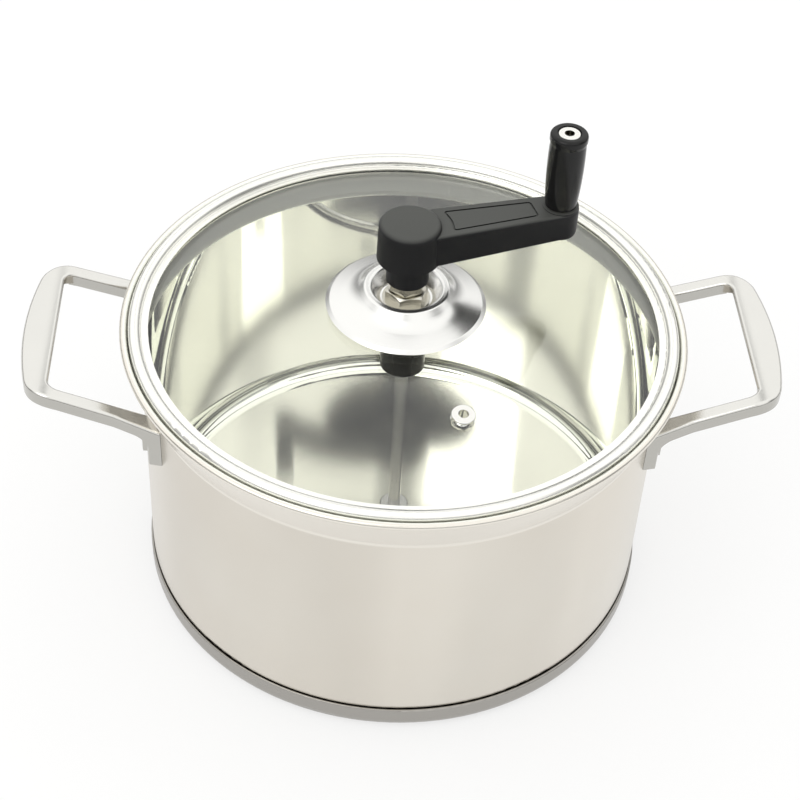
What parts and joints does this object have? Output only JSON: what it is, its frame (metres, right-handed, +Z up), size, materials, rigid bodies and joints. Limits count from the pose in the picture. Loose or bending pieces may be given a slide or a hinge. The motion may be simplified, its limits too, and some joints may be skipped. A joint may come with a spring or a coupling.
{
  "type": "stovetop popcorn popper",
  "caption": "Stainless pot with loop handles and a domed glass lid; a crank on the lid turns a wire stirrer that sweeps the floor of the pot.",
  "frame": {"origin": "centre of the flat base, on the surface that the pot stands on", "axes": "+Z up along the axis of pot, lid and shaft; the handles lie along X"},
  "size_m": [0.3448, 0.2574, 0.2339],
  "materials": {
    "pot_steel": "fine satin, drawn shell",
    "cap_steel": "satin",
    "core_aluminium": "plain",
    "handle_steel": "polished sheet",
    "ring_steel": "polished sheet",
    "lid_glass": "clear toughened",
    "plate_chrome": "polished and spun",
    "eyelet_steel": "polished",
    "seal_rubber": "matt silicone",
    "nut_steel": "plain zinc-like",
    "bearing_black": "matt",
    "shaft_steel": "ground rod",
    "crank_black": "fine-grained moulding",
    "grip_black": "smooth moulding",
    "insert_brass": "turned",
    "bolt_chrome": "bright",
    "wire_steel": "drawn wire"
  },
  "bodies": {
    "pot": {"pot_body": "pot_steel", "base_core": "core_aluminium", "base_cap": "cap_steel", "left_handle": "handle_steel", "right_handle": "handle_steel"},
    "lid": {"lid_glass": "lid_glass", "lid_ring": "ring_steel", "vent_grommet": "eyelet_steel", "centre_plate": "plate_chrome", "upper_gasket": "seal_rubber", "lower_gasket": "seal_rubber", "plate_washer": "nut_steel", "plate_nut": "nut_steel", "lid_bushing": "shaft_steel", "lower_bearing": "bearing_black"},
    "crank": {"drive_shaft": "shaft_steel", "thrust_washer": "nut_steel", "crank_lock_nut": "nut_steel", "retaining_ring": "shaft_steel", "crank_arm": "crank_black", "hub_insert": "insert_brass", "grip_bolt": "bolt_chrome", "grip_washer": "nut_steel", "grip_nut": "nut_steel", "stirrer_hub": "wire_steel", "stirrer_wire": "wire_steel", "stirrer_screw": "nut_steel"},
    "grip": {"grip_sleeve": "grip_black"}
  },
  "joints": [
    {"name": "lid_lift", "type": "slide", "parent": "pot", "child": "lid", "axis": [0, 0, 1], "range_m": [0, 0.16]},
    {"name": "crank_turn", "type": "hinge", "parent": "lid", "child": "crank", "pos_m": [0, 0, 0.17], "axis": [0, 0, 1], "continuous": true},
    {"name": "grip_spin", "type": "hinge", "parent": "crank", "child": "grip", "pos_m": [0.06773, 0.01993, 0.215], "axis": [0, 0, 1], "continuous": true}
  ]
}
